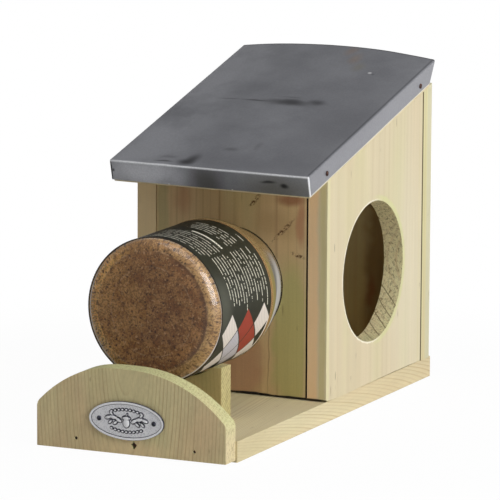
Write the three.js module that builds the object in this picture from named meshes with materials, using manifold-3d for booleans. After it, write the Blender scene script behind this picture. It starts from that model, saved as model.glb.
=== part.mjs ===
// Squirrel feeder box: a pine box with a zinc roof, fed by a glass jar that lies in front of it.
// Millimetres, +Z up, +Y towards the back. The origin is the centre of the base board's underside.
import * as THREE from 'three';
import Module from 'manifold-3d';
import { mergeVertices } from 'three/addons/utils/BufferGeometryUtils.js';

const wasm = await Module();
wasm.setup();

// Boards
const boardThickness = 12;
const boxWidth = 121;
const baseSetIn = 0.5;
const sideDepth = 130.4;
const panelAboveJar = 22.3;
const rearLip = 6.1;
const seamGap = 0.4;
const footGap = 0.8;
const seatGap = 0.3;
const cutOverrun = 2;

// Roof
const roofSlope = THREE.MathUtils.degToRad(14.35);
const roofOverhang = 30.45;
const roofBoardThickness = 12.6;
const roofBoardTail = 2.6;
const sheetThickness = 0.7;
const sheetStandoff = 2.4;
const sheetTail = 10.7;
const sheetCrown = 4.6;
const flangeFrontDepth = 12.1;
const flangeRearDepth = 11.2;

// Jar
const jarDiameter = 82.8;
const jarWall = 2.6;
const jarFloor = 4.5;
const jarBodyLength = 72;
const jarShoulderLength = 30.2;
const jarShoulderRound = 5;
const jarSeatRadius = 32.4;
const jarNeckStep = 1;
const jarNeckLength = 15;
const jarBeadProud = 0.9;
const jarBeadWidth = 2.2;
const jarBeadSetback = 5;
const jarHeel = 8;
const jarPushUp = 1.6;
const jarStandWidth = 5;
const butterRimShare = 0.25;
const butterScoop = 11;
const labelRecess = 0.6;
const labelThickness = 0.3;
const labelGap = 0.2;

// Jar hole, jar rest and stop plate
const jarAxisAboveBase = 64.7;
const jarHoleGap = 0.35;
const jarTravelGap = 10;
const restWidth = 60;
const restHeight = 30.8;
const restSetback = 40;
const restGap = 0.4;
const plateSetIn = 1.7;
const plateSideHeight = 22.5;
const plateHeight = 48.5;
const plateCorner = 5;

// Entrance in the right side panel
const entranceDiameter = 82;
const entranceForward = 2.8;
const entranceAboveBase = 65.7;

// Oval plaque on the stop plate
const plaqueWidth = 46.4;
const plaqueHeight = 21.6;
const plaqueThickness = 1;
const plaqueRimWidth = 1.7;
const plaqueRimRise = 0.6;
const plaqueOffset = -2;
const plaqueAboveFoot = 19.8;
const pinInset = 6.2;

// Nails and pins: seat is how far the underside of the head lies below the surface
const nailClearance = 0.3;
const brad = { shank: 0.8, length: 26, head: 1.3, headThickness: 1, dome: 0, tip: 2.4, seat: 1.8 };
const clout = { shank: 0.8, length: 15, head: 1.5, headThickness: 0.4, dome: 0.4, tip: 2.4, seat: 0 };
const pin = { shank: 0.6, length: 8, head: 1.4, headThickness: 0.3, dome: 0.6, tip: 1.8, seat: 0 };
const plateNailShares = [-0.29, 0.017, 0.336];
const plateNailHeight = 6.5;
const sideNailSetback = 8;
const sideNailShares = [0.08, 0.69];
const backNailShares = [0.17, 0.78];
const baseNailInset = 20;
const baseRearNailSpread = 25;
const restNailSpread = 20;
const roofNailInset = 23;
const hiddenNailInset = 30;

// How finely round shapes are cut
const holeSides = 64;
const jarSides = 60;
const nailSides = 12;
const arcSteps = 20;
const crownSteps = 12;
const heelSteps = 4;
const shoulderSteps = 5;
const scoopSteps = 4;

// Places that follow from the sizes
const baseWidth = boxWidth - 2 * baseSetIn;
const plateWidth = boxWidth - 2 * plateSetIn;
const jarRadius = jarDiameter / 2;
const jarNeckRadius = jarSeatRadius - jarNeckStep;
const sideFrontHeight = jarAxisAboveBase + jarRadius + panelAboveJar;
const jarHoleRadius = jarSeatRadius + jarHoleGap;
const jarProud = jarBodyLength + jarShoulderLength;
const baseLength = jarTravelGap + jarProud + sideDepth + boardThickness + rearLip;
const baseFront = -baseLength / 2;
const plateFront = baseFront - boardThickness;
const boxBack = baseLength / 2 - rearLip;
const sideBack = boxBack - boardThickness;
const boxFront = sideBack - sideDepth;
const boardTop = boardThickness;
const jarBottom = baseFront + jarTravelGap;
const jarAxisHeight = boardTop + jarAxisAboveBase;
const restFront = baseFront + restSetback;
const panelMiddle = boxWidth / 2 - boardThickness / 2;
const roofStack = seatGap + roofBoardThickness + seatGap + sheetThickness;
const sideRun = (roofOverhang + sideDepth) / Math.cos(roofSlope);
const sheetLength = sideRun + sheetTail;
const sheetWidth = boxWidth + 2 * sheetStandoff;
const roofBoardTop = -(sheetThickness + seatGap);

const feeder = new THREE.Group();

function finish(color, roughness, metalness) {
  return new THREE.MeshStandardMaterial({ color, roughness, metalness });
}

function pine() {
  return finish(0xd6c79b, 0.75, 0);
}

function steel() {
  return finish(0x6d625a, 0.5, 0.9);
}

function add(name, geometry, material, frame = new THREE.Matrix4()) {
  const mesh = new THREE.Mesh(geometry, material);
  mesh.name = name;
  mesh.applyMatrix4(frame);
  feeder.add(mesh);
}

// A closed geometry as a solid that can be cut and joined
function solidOf(geometry) {
  const bare = geometry.clone();
  bare.deleteAttribute('normal');
  bare.deleteAttribute('uv');
  const merged = mergeVertices(bare);
  const vertProperties = new Float32Array(merged.attributes.position.array);
  const triVerts = new Uint32Array(merged.index.array);
  return new wasm.Manifold(new wasm.Mesh({ numProp: 3, vertProperties, triVerts }));
}

function geometryOf(solid) {
  const mesh = solid.getMesh();
  const geometry = new THREE.BufferGeometry();
  geometry.setAttribute('position', new THREE.BufferAttribute(mesh.vertProperties, 3));
  geometry.setIndex(new THREE.BufferAttribute(mesh.triVerts, 1));
  geometry.computeVertexNormals();
  return geometry;
}

function box(low, high) {
  const size = new THREE.Vector3().subVectors(high, low);
  const middle = new THREE.Vector3().addVectors(low, high).multiplyScalar(1 / 2);
  return new THREE.BoxGeometry(size.x, size.y, size.z).translate(middle.x, middle.y, middle.z);
}

function polygon(points) {
  return new THREE.Shape(points.map(([x, y]) => new THREE.Vector2(x, y)));
}

// A shape drawn in X and Z, given its depth along +Y from the place "front"
function extrudeBack(shape, front, depth, curveSegments) {
  const geometry = new THREE.ExtrudeGeometry(shape, { depth, bevelEnabled: false, curveSegments });
  return geometry.rotateX(Math.PI / 2).translate(0, front + depth, 0);
}

// A shape drawn in Y and Z, given its width along +X from the place "left"
function extrudeRight(shape, left, width) {
  const geometry = new THREE.ExtrudeGeometry(shape, { depth: width, bevelEnabled: false });
  const axes = [new THREE.Vector3(0, 1, 0), new THREE.Vector3(0, 0, 1), new THREE.Vector3(1, 0, 0)];
  return geometry.applyMatrix4(new THREE.Matrix4().makeBasis(...axes)).translate(left, 0, 0);
}

function lathe(profile, sides) {
  return new THREE.LatheGeometry(profile.map(([r, y]) => new THREE.Vector2(r, y)), sides);
}

// A round cutter between two points, used for the jar hole and the entrance
function drill(radius, from, to) {
  const along = new THREE.Vector3().subVectors(to, from);
  const middle = new THREE.Vector3().addVectors(from, to).multiplyScalar(1 / 2);
  const upright = new THREE.Vector3(0, 1, 0);
  const turn = new THREE.Quaternion().setFromUnitVectors(upright, along.clone().normalize());
  const cylinder = new THREE.CylinderGeometry(radius, radius, along.length(), holeSides);
  return solidOf(cylinder.applyQuaternion(turn).translate(middle.x, middle.y, middle.z));
}

// The roof is drawn flat and then tilted: X across, Y up the slope from the front fold, Z out of the sheet
function panelTop(y) {
  return boardTop + sideFrontHeight + (y - boxFront) * Math.tan(roofSlope);
}

function roofFrame() {
  const foldY = boxFront - roofOverhang;
  const foldZ = panelTop(foldY) + roofStack / Math.cos(roofSlope);
  return new THREE.Matrix4().makeRotationX(roofSlope).setPosition(0, foldY, foldZ);
}

// Nails: each has a place on the surface, a direction, and the pieces that it runs through
const nails = [];

function addNail(name, kind, at, along, through) {
  nails.push({ name, kind, at, along, through });
}

function nailFrame(nail) {
  const turn = new THREE.Quaternion().setFromUnitVectors(new THREE.Vector3(0, -1, 0), nail.along);
  const seat = nail.at.clone().addScaledVector(nail.along, nail.kind.seat);
  return new THREE.Matrix4().makeRotationFromQuaternion(turn).setPosition(seat);
}

function nailGeometry({ shank, length, head, headThickness, dome, tip }) {
  const rimShare = 0.7;
  const crest = dome > 0 ? [[head * rimShare, headThickness + dome * rimShare]] : [];
  return lathe([
    [0, -length],
    [shank, tip - length],
    [shank, 0],
    [head, 0],
    [head, headThickness],
    ...crest,
    [0, headThickness + dome],
  ], nailSides);
}

// The hole that a nail leaves, with room for a sunk head
function nailBore(nail) {
  const { shank, length, head, seat } = nail.kind;
  const bore = shank + nailClearance;
  const mouth = seat > 0 ? head + nailClearance : bore;
  const profile = [
    [0, -length - nailClearance],
    [bore, -length - nailClearance],
    [bore, 0],
    ...(seat > 0 ? [[mouth, 0]] : []),
    [mouth, seat + cutOverrun],
    [0, seat + cutOverrun],
  ];
  return lathe(profile, nailSides).applyMatrix4(nailFrame(nail));
}

function cutNails(name, solid, frame = new THREE.Matrix4()) {
  const back = frame.clone().invert();
  let result = solid;
  for (const nail of nails.filter(({ through }) => through.includes(name))) {
    result = result.subtract(solidOf(nailBore(nail).applyMatrix4(back)));
  }
  return result;
}

function layOutNails() {
  const back = new THREE.Vector3(0, 1, 0);
  const up = new THREE.Vector3(0, 0, 1);
  plateNailShares.forEach((share, i) => {
    const at = new THREE.Vector3(share * plateWidth, plateFront, plateNailHeight);
    addNail(`stop_plate_nail_${i + 1}`, brad, at, back, ['front_stop_plate', 'base_board']);
  });
  for (const [side, sign] of [['left', -1], ['right', 1]]) {
    const panel = `${side}_side_panel`;
    const inward = new THREE.Vector3(-sign, 0, 0);
    const levels = ['lower', 'upper'];
    levels.forEach((level, i) => {
      const edgeHeight = boardTop + sideNailShares[i] * sideFrontHeight;
      const edge = new THREE.Vector3(sign * boxWidth / 2, boxFront + sideNailSetback, edgeHeight);
      addNail(`${side}_panel_nail_${level}`, brad, edge, inward, [panel, 'front_panel']);
      const rearHeight = boardTop + backNailShares[i] * (panelTop(boxBack) - boardTop);
      const rear = new THREE.Vector3(sign * panelMiddle, boxBack, rearHeight);
      addNail(`back_panel_nail_${side}_${level}`, brad, rear, back.clone().negate(), ['back_panel', panel]);
    });
    for (const [end, y] of [['front', boxFront + baseNailInset], ['rear', sideBack - baseNailInset]]) {
      const below = new THREE.Vector3(sign * panelMiddle, y, 0);
      addNail(`base_nail_${side}_${end}`, brad, below, up, ['base_board', panel]);
    }
    const rearFoot = new THREE.Vector3(sign * baseRearNailSpread, sideBack + boardThickness / 2, 0);
    addNail(`base_nail_${side}_back_panel`, brad, rearFoot, up, ['base_board', 'back_panel']);
    const restFoot = new THREE.Vector3(sign * restNailSpread, restFront + boardThickness / 2, 0);
    addNail(`jar_rest_nail_${side}`, brad, restFoot, up, ['base_board', 'jar_rest']);
    const pinX = plaqueOffset + sign * (plaqueWidth / 2 - pinInset);
    const pinAt = new THREE.Vector3(pinX, plateFront - plaqueThickness, plaqueAboveFoot);
    addNail(`plaque_pin_${side}`, pin, pinAt, back, ['plaque', 'front_stop_plate']);
    layOutRoofNails(side, sign, panel, inward);
  }
}

function layOutRoofNails(side, sign, panel, inward) {
  const frame = roofFrame();
  const down = new THREE.Vector3(0, 0, -1).transformDirection(frame);
  const edgeHeight = roofBoardTop - roofBoardThickness / 2;
  for (const [end, y] of [['front', roofNailInset], ['rear', sheetLength - roofNailInset]]) {
    const edge = new THREE.Vector3(sign * sheetWidth / 2, y, edgeHeight).applyMatrix4(frame);
    addNail(`roof_nail_${side}_${end}`, clout, edge, inward, ['roof_sheet', 'roof_board']);
  }
  const frontRun = (roofOverhang + hiddenNailInset) / Math.cos(roofSlope);
  for (const [end, y] of [['front', frontRun], ['rear', sideRun - hiddenNailInset]]) {
    const top = new THREE.Vector3(sign * panelMiddle, y, roofBoardTop).applyMatrix4(frame);
    addNail(`roof_board_nail_${side}_${end}`, brad, top, down, ['roof_board', panel]);
  }
}

function baseBoard() {
  const low = new THREE.Vector3(-baseWidth / 2, baseFront, 0);
  const high = new THREE.Vector3(baseWidth / 2, -baseFront, boardTop);
  add('base_board', geometryOf(cutNails('base_board', solidOf(box(low, high)))), pine());
}

// A half-moon board: straight sides, small rounded shoulders and one wide arc over the top
function stopPlate() {
  const half = plateWidth / 2;
  const rise = plateHeight - plateSideHeight;
  const arcRadius = (rise ** 2 + half ** 2) / (2 * rise);
  const arcCentre = plateHeight - arcRadius;
  const shoulder = Math.acos(half / arcRadius) + plateCorner / arcRadius;
  const shape = new THREE.Shape();
  shape.moveTo(-half, 0);
  shape.lineTo(half, 0);
  shape.lineTo(half, plateSideHeight - plateCorner);
  const arcEnd = [arcRadius * Math.cos(shoulder), arcCentre + arcRadius * Math.sin(shoulder)];
  shape.quadraticCurveTo(half, plateSideHeight, ...arcEnd);
  shape.absarc(0, arcCentre, arcRadius, shoulder, Math.PI - shoulder, false);
  shape.quadraticCurveTo(-half, plateSideHeight, -half, plateSideHeight - plateCorner);
  const plate = solidOf(extrudeBack(shape, plateFront, boardThickness, arcSteps));
  add('front_stop_plate', geometryOf(cutNails('front_stop_plate', plate)), pine());
}

// The jar lies in a round notch cut about the jar's own axis
function jarRest() {
  const low = new THREE.Vector3(-restWidth / 2, restFront, boardTop);
  const high = new THREE.Vector3(restWidth / 2, restFront + boardThickness, boardTop + restHeight);
  const from = new THREE.Vector3(0, low.y - cutOverrun, jarAxisHeight);
  const to = new THREE.Vector3(0, high.y + cutOverrun, jarAxisHeight);
  const notched = solidOf(box(low, high)).subtract(drill(jarRadius + restGap, from, to));
  add('jar_rest', geometryOf(cutNails('jar_rest', notched)), pine());
}

function frontPanel() {
  const halfWidth = boxWidth / 2 - boardThickness - seamGap;
  const rear = boxFront + boardThickness;
  const outline = polygon([
    [boxFront, boardTop + footGap],
    [rear, boardTop + footGap],
    [rear, panelTop(rear)],
    [boxFront, panelTop(boxFront)],
  ]);
  const from = new THREE.Vector3(0, boxFront - cutOverrun, jarAxisHeight);
  const to = new THREE.Vector3(0, rear + cutOverrun, jarAxisHeight);
  const blank = solidOf(extrudeRight(outline, -halfWidth, 2 * halfWidth));
  const panel = blank.subtract(drill(jarHoleRadius, from, to));
  add('front_panel', geometryOf(cutNails('front_panel', panel)), pine());
}

function sidePanel(side, sign) {
  const outline = polygon([
    [boxFront, boardTop],
    [sideBack, boardTop],
    [sideBack, panelTop(sideBack)],
    [boxFront, panelTop(boxFront)],
  ]);
  const left = sign > 0 ? boxWidth / 2 - boardThickness : -boxWidth / 2;
  let panel = solidOf(extrudeRight(outline, left, boardThickness));
  if (sign > 0) {
    const [y, z] = [(boxFront + sideBack) / 2 - entranceForward, boardTop + entranceAboveBase];
    const from = new THREE.Vector3(left - cutOverrun, y, z);
    const to = new THREE.Vector3(left + boardThickness + cutOverrun, y, z);
    panel = panel.subtract(drill(entranceDiameter / 2, from, to));
  }
  const name = `${side}_side_panel`;
  add(name, geometryOf(cutNails(name, panel)), pine());
}

function backPanel() {
  const outline = polygon([
    [sideBack, boardTop],
    [boxBack, boardTop],
    [boxBack, panelTop(boxBack)],
    [sideBack, panelTop(sideBack)],
  ]);
  const panel = solidOf(extrudeRight(outline, -boxWidth / 2, boxWidth));
  add('back_panel', geometryOf(cutNails('back_panel', panel)), pine());
}

function roofBoard() {
  const half = sheetWidth / 2 - sheetThickness - seatGap;
  const low = new THREE.Vector3(-half, -roofBoardTop, roofBoardTop - roofBoardThickness);
  const high = new THREE.Vector3(half, sideRun + roofBoardTail, roofBoardTop);
  const frame = roofFrame();
  const board = cutNails('roof_board', solidOf(box(low, high)), frame);
  add('roof_board', geometryOf(board), pine(), frame);
}

// The sheet is flat at its front fold and arches more and more towards its free back edge
function roofSheet() {
  const top = new THREE.BoxGeometry(sheetWidth, sheetLength, sheetThickness, crownSteps, crownSteps, 1);
  top.translate(0, sheetLength / 2, -sheetThickness / 2);
  const places = top.attributes.position;
  for (let i = 0; i < places.count; i += 1) {
    const across = 2 * places.getX(i) / sheetWidth;
    const along = places.getY(i) / sheetLength;
    places.setZ(i, places.getZ(i) + sheetCrown * (1 - across ** 2) * along);
  }
  const lap = -sheetThickness / 2;
  const flange = polygon([
    [0, lap],
    [0, -flangeFrontDepth],
    [sheetLength - sheetTail, -flangeRearDepth],
    [sheetLength, lap],
  ]);
  const frontLow = new THREE.Vector3(-sheetWidth / 2, 0, -flangeFrontDepth);
  const frontHigh = new THREE.Vector3(sheetWidth / 2, sheetThickness, lap);
  const frame = roofFrame();
  let sheet = solidOf(top).add(solidOf(box(frontLow, frontHigh)));
  for (const left of [-sheetWidth / 2, sheetWidth / 2 - sheetThickness]) {
    sheet = sheet.add(solidOf(extrudeRight(flange, left, sheetThickness)));
  }
  sheet = cutNails('roof_sheet', sheet, frame);
  add('roof_sheet', geometryOf(sheet), finish(0x7d8085, 0.45, 0.8), frame);
}

function ellipse(width, height) {
  const shape = new THREE.Shape();
  shape.absellipse(0, 0, width / 2, height / 2, 0, 2 * Math.PI, false, 0);
  return shape;
}

// An oval plate with a raised rim
function plaque() {
  const whole = plaqueThickness + plaqueRimRise;
  const outer = extrudeBack(ellipse(plaqueWidth, plaqueHeight), plateFront - whole, whole, arcSteps);
  const inner = ellipse(plaqueWidth - 2 * plaqueRimWidth, plaqueHeight - 2 * plaqueRimWidth);
  const field = extrudeBack(inner, plateFront - whole - cutOverrun, plaqueRimRise + cutOverrun, arcSteps);
  const plate = solidOf(outer).subtract(solidOf(field)).translate([plaqueOffset, 0, plaqueAboveFoot]);
  add('plaque', geometryOf(cutNails('plaque', plate)), finish(0xaaa8ac, 0.35, 0.9));
}

// Jar profiles run along the jar's axis: a radius, then the distance from its bottom
function arcProfile(radius, centreRadius, centreAlong, from, to, steps) {
  return Array.from({ length: steps + 1 }, (_, i) => {
    const angle = from + (to - from) * i / steps;
    return [centreRadius + radius * Math.cos(angle), centreAlong + radius * Math.sin(angle)];
  });
}

// The shoulder's line, which turns in from the body to the neck
function shoulder(bodyRadius, neckRadius) {
  return new THREE.QuadraticBezierCurve(
    new THREE.Vector2(bodyRadius, jarBodyLength),
    new THREE.Vector2(bodyRadius, jarBodyLength + jarShoulderRound),
    new THREE.Vector2(neckRadius, jarProud),
  );
}

function shoulderProfile(bodyRadius, neckRadius) {
  return shoulder(bodyRadius, neckRadius).getPoints(shoulderSteps).map(({ x, y }) => [x, y]);
}

function jarFrame() {
  return new THREE.Matrix4().makeTranslation(0, jarBottom, jarAxisHeight);
}

function jarGlass() {
  const stand = jarRadius - jarHeel;
  const labelEnd = jarBodyLength - labelRecess;
  const recess = jarRadius - labelRecess;
  const mouth = jarProud + jarNeckLength;
  const beadEnd = mouth - jarBeadSetback;
  const bead = jarNeckRadius + jarBeadProud;
  const boreRadius = jarNeckRadius - jarWall;
  const innerHeel = jarHeel - jarWall;
  const innerBody = jarRadius - jarWall;
  const glass = lathe([
    [0, jarPushUp],
    [stand - jarStandWidth, jarPushUp],
    [stand - jarStandWidth + jarPushUp, 0],
    ...arcProfile(jarHeel, stand, jarHeel, -Math.PI / 2, 0, heelSteps),
    [recess, jarHeel + labelRecess],
    [recess, labelEnd],
    ...shoulderProfile(jarRadius, jarSeatRadius),
    [jarNeckRadius, jarProud + jarBeadProud],
    [jarNeckRadius, beadEnd - jarBeadWidth - jarBeadProud],
    [bead, beadEnd - jarBeadWidth],
    [bead, beadEnd],
    [jarNeckRadius, beadEnd + jarBeadProud],
    [jarNeckRadius, mouth],
    [boreRadius, mouth],
    ...shoulderProfile(innerBody, boreRadius).reverse(),
    ...arcProfile(innerHeel, innerBody - innerHeel, jarFloor + innerHeel, 0, -Math.PI / 2, heelSteps),
    [0, jarFloor],
  ], jarSides);
  add('jar_glass', geometryOf(solidOf(glass)), finish(0xc9d0c8, 0.08, 0), jarFrame());
}

// The butter fills the jar to just past the start of the shoulder, with one scooped hollow
function peanutButter() {
  const radius = jarRadius - jarWall - seatGap;
  const heel = jarHeel - jarWall;
  const floor = jarFloor + seatGap;
  const rim = shoulder(radius, jarNeckRadius - jarWall - seatGap).getPoint(butterRimShare);
  const scoop = Array.from({ length: scoopSteps + 1 }, (_, i) => {
    const share = 1 - i / scoopSteps;
    return [rim.x * share, rim.y - butterScoop * (1 - share ** 2)];
  });
  const butter = lathe([
    [0, floor],
    ...arcProfile(heel, radius - heel, floor + heel, -Math.PI / 2, 0, heelSteps),
    [radius, jarBodyLength],
    ...scoop,
  ], jarSides);
  add('peanut_butter', geometryOf(solidOf(butter)), finish(0x9a6b3c, 0.55, 0), jarFrame());
}

function jarLabel() {
  const inner = jarRadius - labelRecess + labelGap;
  const outer = inner + labelThickness;
  const start = jarHeel + 2 * labelRecess;
  const end = jarBodyLength - 2 * labelRecess;
  const label = lathe([
    [inner, start],
    [outer, start],
    [outer, end],
    [inner, end],
    [inner, start],
  ], jarSides);
  add('jar_label', geometryOf(solidOf(label)), finish(0x4c4d3f, 0.5, 0), jarFrame());
}

function driveNails() {
  for (const nail of nails) {
    add(nail.name, geometryOf(solidOf(nailGeometry(nail.kind))), steel(), nailFrame(nail));
  }
}

layOutNails();
baseBoard();
stopPlate();
jarRest();
frontPanel();
sidePanel('left', -1);
sidePanel('right', 1);
backPanel();
roofBoard();
roofSheet();
plaque();
jarGlass();
peanutButter();
jarLabel();
driveNails();

export default feeder;
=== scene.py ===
import math

import bmesh
import bpy
from mathutils import Matrix, Vector, noise


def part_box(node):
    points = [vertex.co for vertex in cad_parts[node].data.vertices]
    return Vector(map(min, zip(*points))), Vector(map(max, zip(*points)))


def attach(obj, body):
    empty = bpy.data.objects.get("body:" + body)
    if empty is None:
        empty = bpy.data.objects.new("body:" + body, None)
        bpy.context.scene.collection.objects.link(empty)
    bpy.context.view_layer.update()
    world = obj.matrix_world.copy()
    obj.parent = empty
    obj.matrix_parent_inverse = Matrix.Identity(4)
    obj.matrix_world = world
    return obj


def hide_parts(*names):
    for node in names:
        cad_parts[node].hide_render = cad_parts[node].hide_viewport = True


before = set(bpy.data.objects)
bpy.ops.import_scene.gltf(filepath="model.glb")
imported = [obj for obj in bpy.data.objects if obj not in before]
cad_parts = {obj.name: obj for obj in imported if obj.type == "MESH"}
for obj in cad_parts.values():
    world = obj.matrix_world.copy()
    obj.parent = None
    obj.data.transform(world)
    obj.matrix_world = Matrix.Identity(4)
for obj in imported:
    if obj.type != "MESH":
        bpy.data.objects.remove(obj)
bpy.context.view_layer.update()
mm = 0.001
print("frame loaded")


def tint(red, green, blue):  # a screen colour, 0 to 255, as the linear one that sockets take
    shares = [level / 255 for level in (red, green, blue)]
    linear = [s / 12.92 if s <= 0.04045 else ((s + 0.055) / 1.055) ** 2.4 for s in shares]
    return (*linear, 1.0)


# Shaders: a Wire is a socket that can be reckoned with, a Finish is a material being wired

class Wire:
    def __init__(self, finish, socket):
        self.finish = finish
        self.socket = socket

    def math(self, operation, *values):
        return self.finish.node("ShaderNodeMath", {"operation": operation}, *values)

    def __add__(self, other):
        return self.math("ADD", self, other)

    def __radd__(self, other):
        return self.math("ADD", other, self)

    def __sub__(self, other):
        return self.math("SUBTRACT", self, other)

    def __rsub__(self, other):
        return self.math("SUBTRACT", other, self)

    def __mul__(self, other):
        return self.math("MULTIPLY", self, other)

    def __rmul__(self, other):
        return self.math("MULTIPLY", other, self)

    def __truediv__(self, other):
        return self.math("DIVIDE", self, other)

    def __rtruediv__(self, other):
        return self.math("DIVIDE", other, self)

    def __pow__(self, other):
        return self.math("POWER", self, other)

    def __rpow__(self, other):
        return self.math("POWER", other, self)

    def __abs__(self):
        return self.math("ABSOLUTE", self)

    def call(self, operation, *others):
        return self.math(operation, self, *others)

    def rise(self, low, high, first=0.0, last=1.0):  # 0 below low, 1 above high, smooth between
        settings = {"interpolation_type": "SMOOTHSTEP"}
        return self.finish.node("ShaderNodeMapRange", settings, self, low, high, first, last)

    def fall(self, low, high):
        return self.rise(low, high, 1.0, 0.0)

    def band(self, start, full, last, end):  # 1 from full to last, 0 before start and after end
        return self.rise(start, full) * self.fall(last, end)

    def span(self, low, high):  # a 0 to 1 value spread from low to high
        return self.finish.node("ShaderNodeMapRange", {}, self, 0.0, 1.0, low, high)


class Finish:  # points are in metres; split coordinates, spots, drifts and bumps in millimetres
    def __init__(self, name, world=False):
        self.owner = (bpy.data.worlds if world else bpy.data.materials).new(name)
        self.owner.use_nodes = True
        self.tree = self.owner.node_tree
        self.tree.nodes.clear()
        self.out = self.tree.nodes.new("ShaderNodeOutputWorld" if world else "ShaderNodeOutputMaterial")

    def node(self, kind, settings, *values, out=0, **named):
        made = self.tree.nodes.new(kind)
        for key, value in settings.items():
            setattr(made, key, value)
        for place, value in [*enumerate(values), *named.items()]:
            if value is None:
                continue
            socket = made.inputs[place.replace("_", " ") if isinstance(place, str) else place]
            if isinstance(value, Wire):
                self.tree.links.new(value.socket, socket)
            else:
                socket.default_value = value
        return Wire(self, made.outputs[out])

    def place(self, turn=(0, 0, 0), shift=(0, 0, 0)):
        point = self.node("ShaderNodeTexCoord", {}, out="Object")
        return self.node("ShaderNodeMapping", {}, point, shift, turn)

    def split(self, point):
        parts = self.node("ShaderNodeSeparateXYZ", {}, self.stretch(point, (1 / mm, 1 / mm, 1 / mm)))
        return [Wire(self, output) for output in parts.socket.node.outputs]

    def join(self, x, y, z):
        return self.node("ShaderNodeCombineXYZ", {}, x, y, z)

    def stretch(self, point, scale):
        return self.node("ShaderNodeVectorMath", {"operation": "MULTIPLY"}, point, scale)

    def move(self, point, offset):
        return self.node("ShaderNodeVectorMath", {"operation": "ADD"}, point, offset)

    def grain(self, point, scale, detail=2.0, rough=0.5):
        return self.node("ShaderNodeTexNoise", {}, point, None, scale, detail, rough)

    def cells(self, point, scale):
        return self.node("ShaderNodeTexVoronoi", {}, point, Scale=scale)

    def pick(self, value):  # a random share for each whole value
        return self.node("ShaderNodeTexWhiteNoise", {"noise_dimensions": "1D"}, None, value)

    def blend(self, amount, first, second, kind="MIX"):
        settings = {"data_type": "RGBA", "blend_type": kind}
        return self.node("ShaderNodeMix", settings, amount, *[None] * 5, first, second, out=2)

    def ground(self, amount, first, second):  # the colours that everything else is laid over
        self.colour = self.blend(amount, tint(*first), tint(*second))

    def lay(self, amount, shade):
        self.colour = self.blend(amount, self.colour, tint(*shade))

    def spot(self, point, centre, radius, soft):  # 1 inside an ellipsoid, 0 outside it
        shifted = self.move(point, tuple(-c * mm for c in centre))
        squeezed = self.stretch(shifted, tuple(1 / (r * mm) for r in radius))
        away = self.node("ShaderNodeVectorMath", {"operation": "LENGTH"}, squeezed, out="Value")
        return away.fall(1 - soft, 1.0)

    def drift(self, point, reach):  # a small wander that keeps painted marks from looking drawn
        cloud = self.node("ShaderNodeTexNoise", {}, point, None, 70.0, 2.0, 0.5, out="Color")
        return self.stretch(self.move(cloud, (-0.5, -0.5, -0.5)), (2 * reach * mm,) * 3)

    def paint(self, point, patches):  # soft marks, both stains and painted light or shade: centre, reach, colour, amount, softness, drift
        for centre, reach, shade, amount, soft, drift in patches:
            moved = self.move(point, self.drift(point, drift)) if drift else point
            self.lay(self.spot(moved, centre, reach, soft) * amount, shade)

    def bump(self, height, strength, distance):
        return self.node("ShaderNodeBump", {}, Strength=strength, Distance=distance * mm, Height=height)

    def shell(self, **sockets):
        return self.node("ShaderNodeBsdfPrincipled", {}, **sockets)

    def matte(self, colour):
        return self.node("ShaderNodeBsdfDiffuse", {}, colour)

    def clear(self, colour=(1, 1, 1, 1)):
        return self.node("ShaderNodeBsdfTransparent", {}, colour)

    def mixed(self, amount, first, second):
        return self.node("ShaderNodeMixShader", {}, amount, first, second)

    def ray(self, name):
        return self.node("ShaderNodeLightPath", {}, out=name)

    def through(self):  # seen straight through glass, not by light that a surface has scattered
        return self.ray("Is Transmission Ray") * (1 - self.ray("Diffuse Depth").call("MINIMUM", 1.0))

    def done(self, shader):
        self.tree.links.new(shader.socket, self.out.inputs["Surface"])
        return self.owner

    def coated(self, **sockets):
        return self.done(self.shell(Base_Color=self.colour, **sockets))


# Wood: growth rings round a pith line that runs along the grain, so faces and ends agree

pineLook = {
    "early": (226, 212, 172), "late": (202, 172, 126), "lateAmount": 0.5, "lateFrom": 0.5,
    "blush": (214, 186, 146), "blushAmount": 0.35, "moss": (208, 206, 150), "mossAmount": 0.35,
    "fleck": (120, 90, 56), "fleckAmount": 0.4, "patches": (), "tears": (),
    "ring": 2.4, "warp": 3.0, "warpScale": 16.0, "flow": 0.12,  # rings and their wander, in millimetres
    "fibre": 0.09, "streak": 0.06, "grit": 0.05, "rough": 0.62, "sawn": 0.0, "shagged": 0.55,
    "turn": (0.0, 0.0, 0.0), "pith": (0.0, 0.06, 0.0),
}


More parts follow.
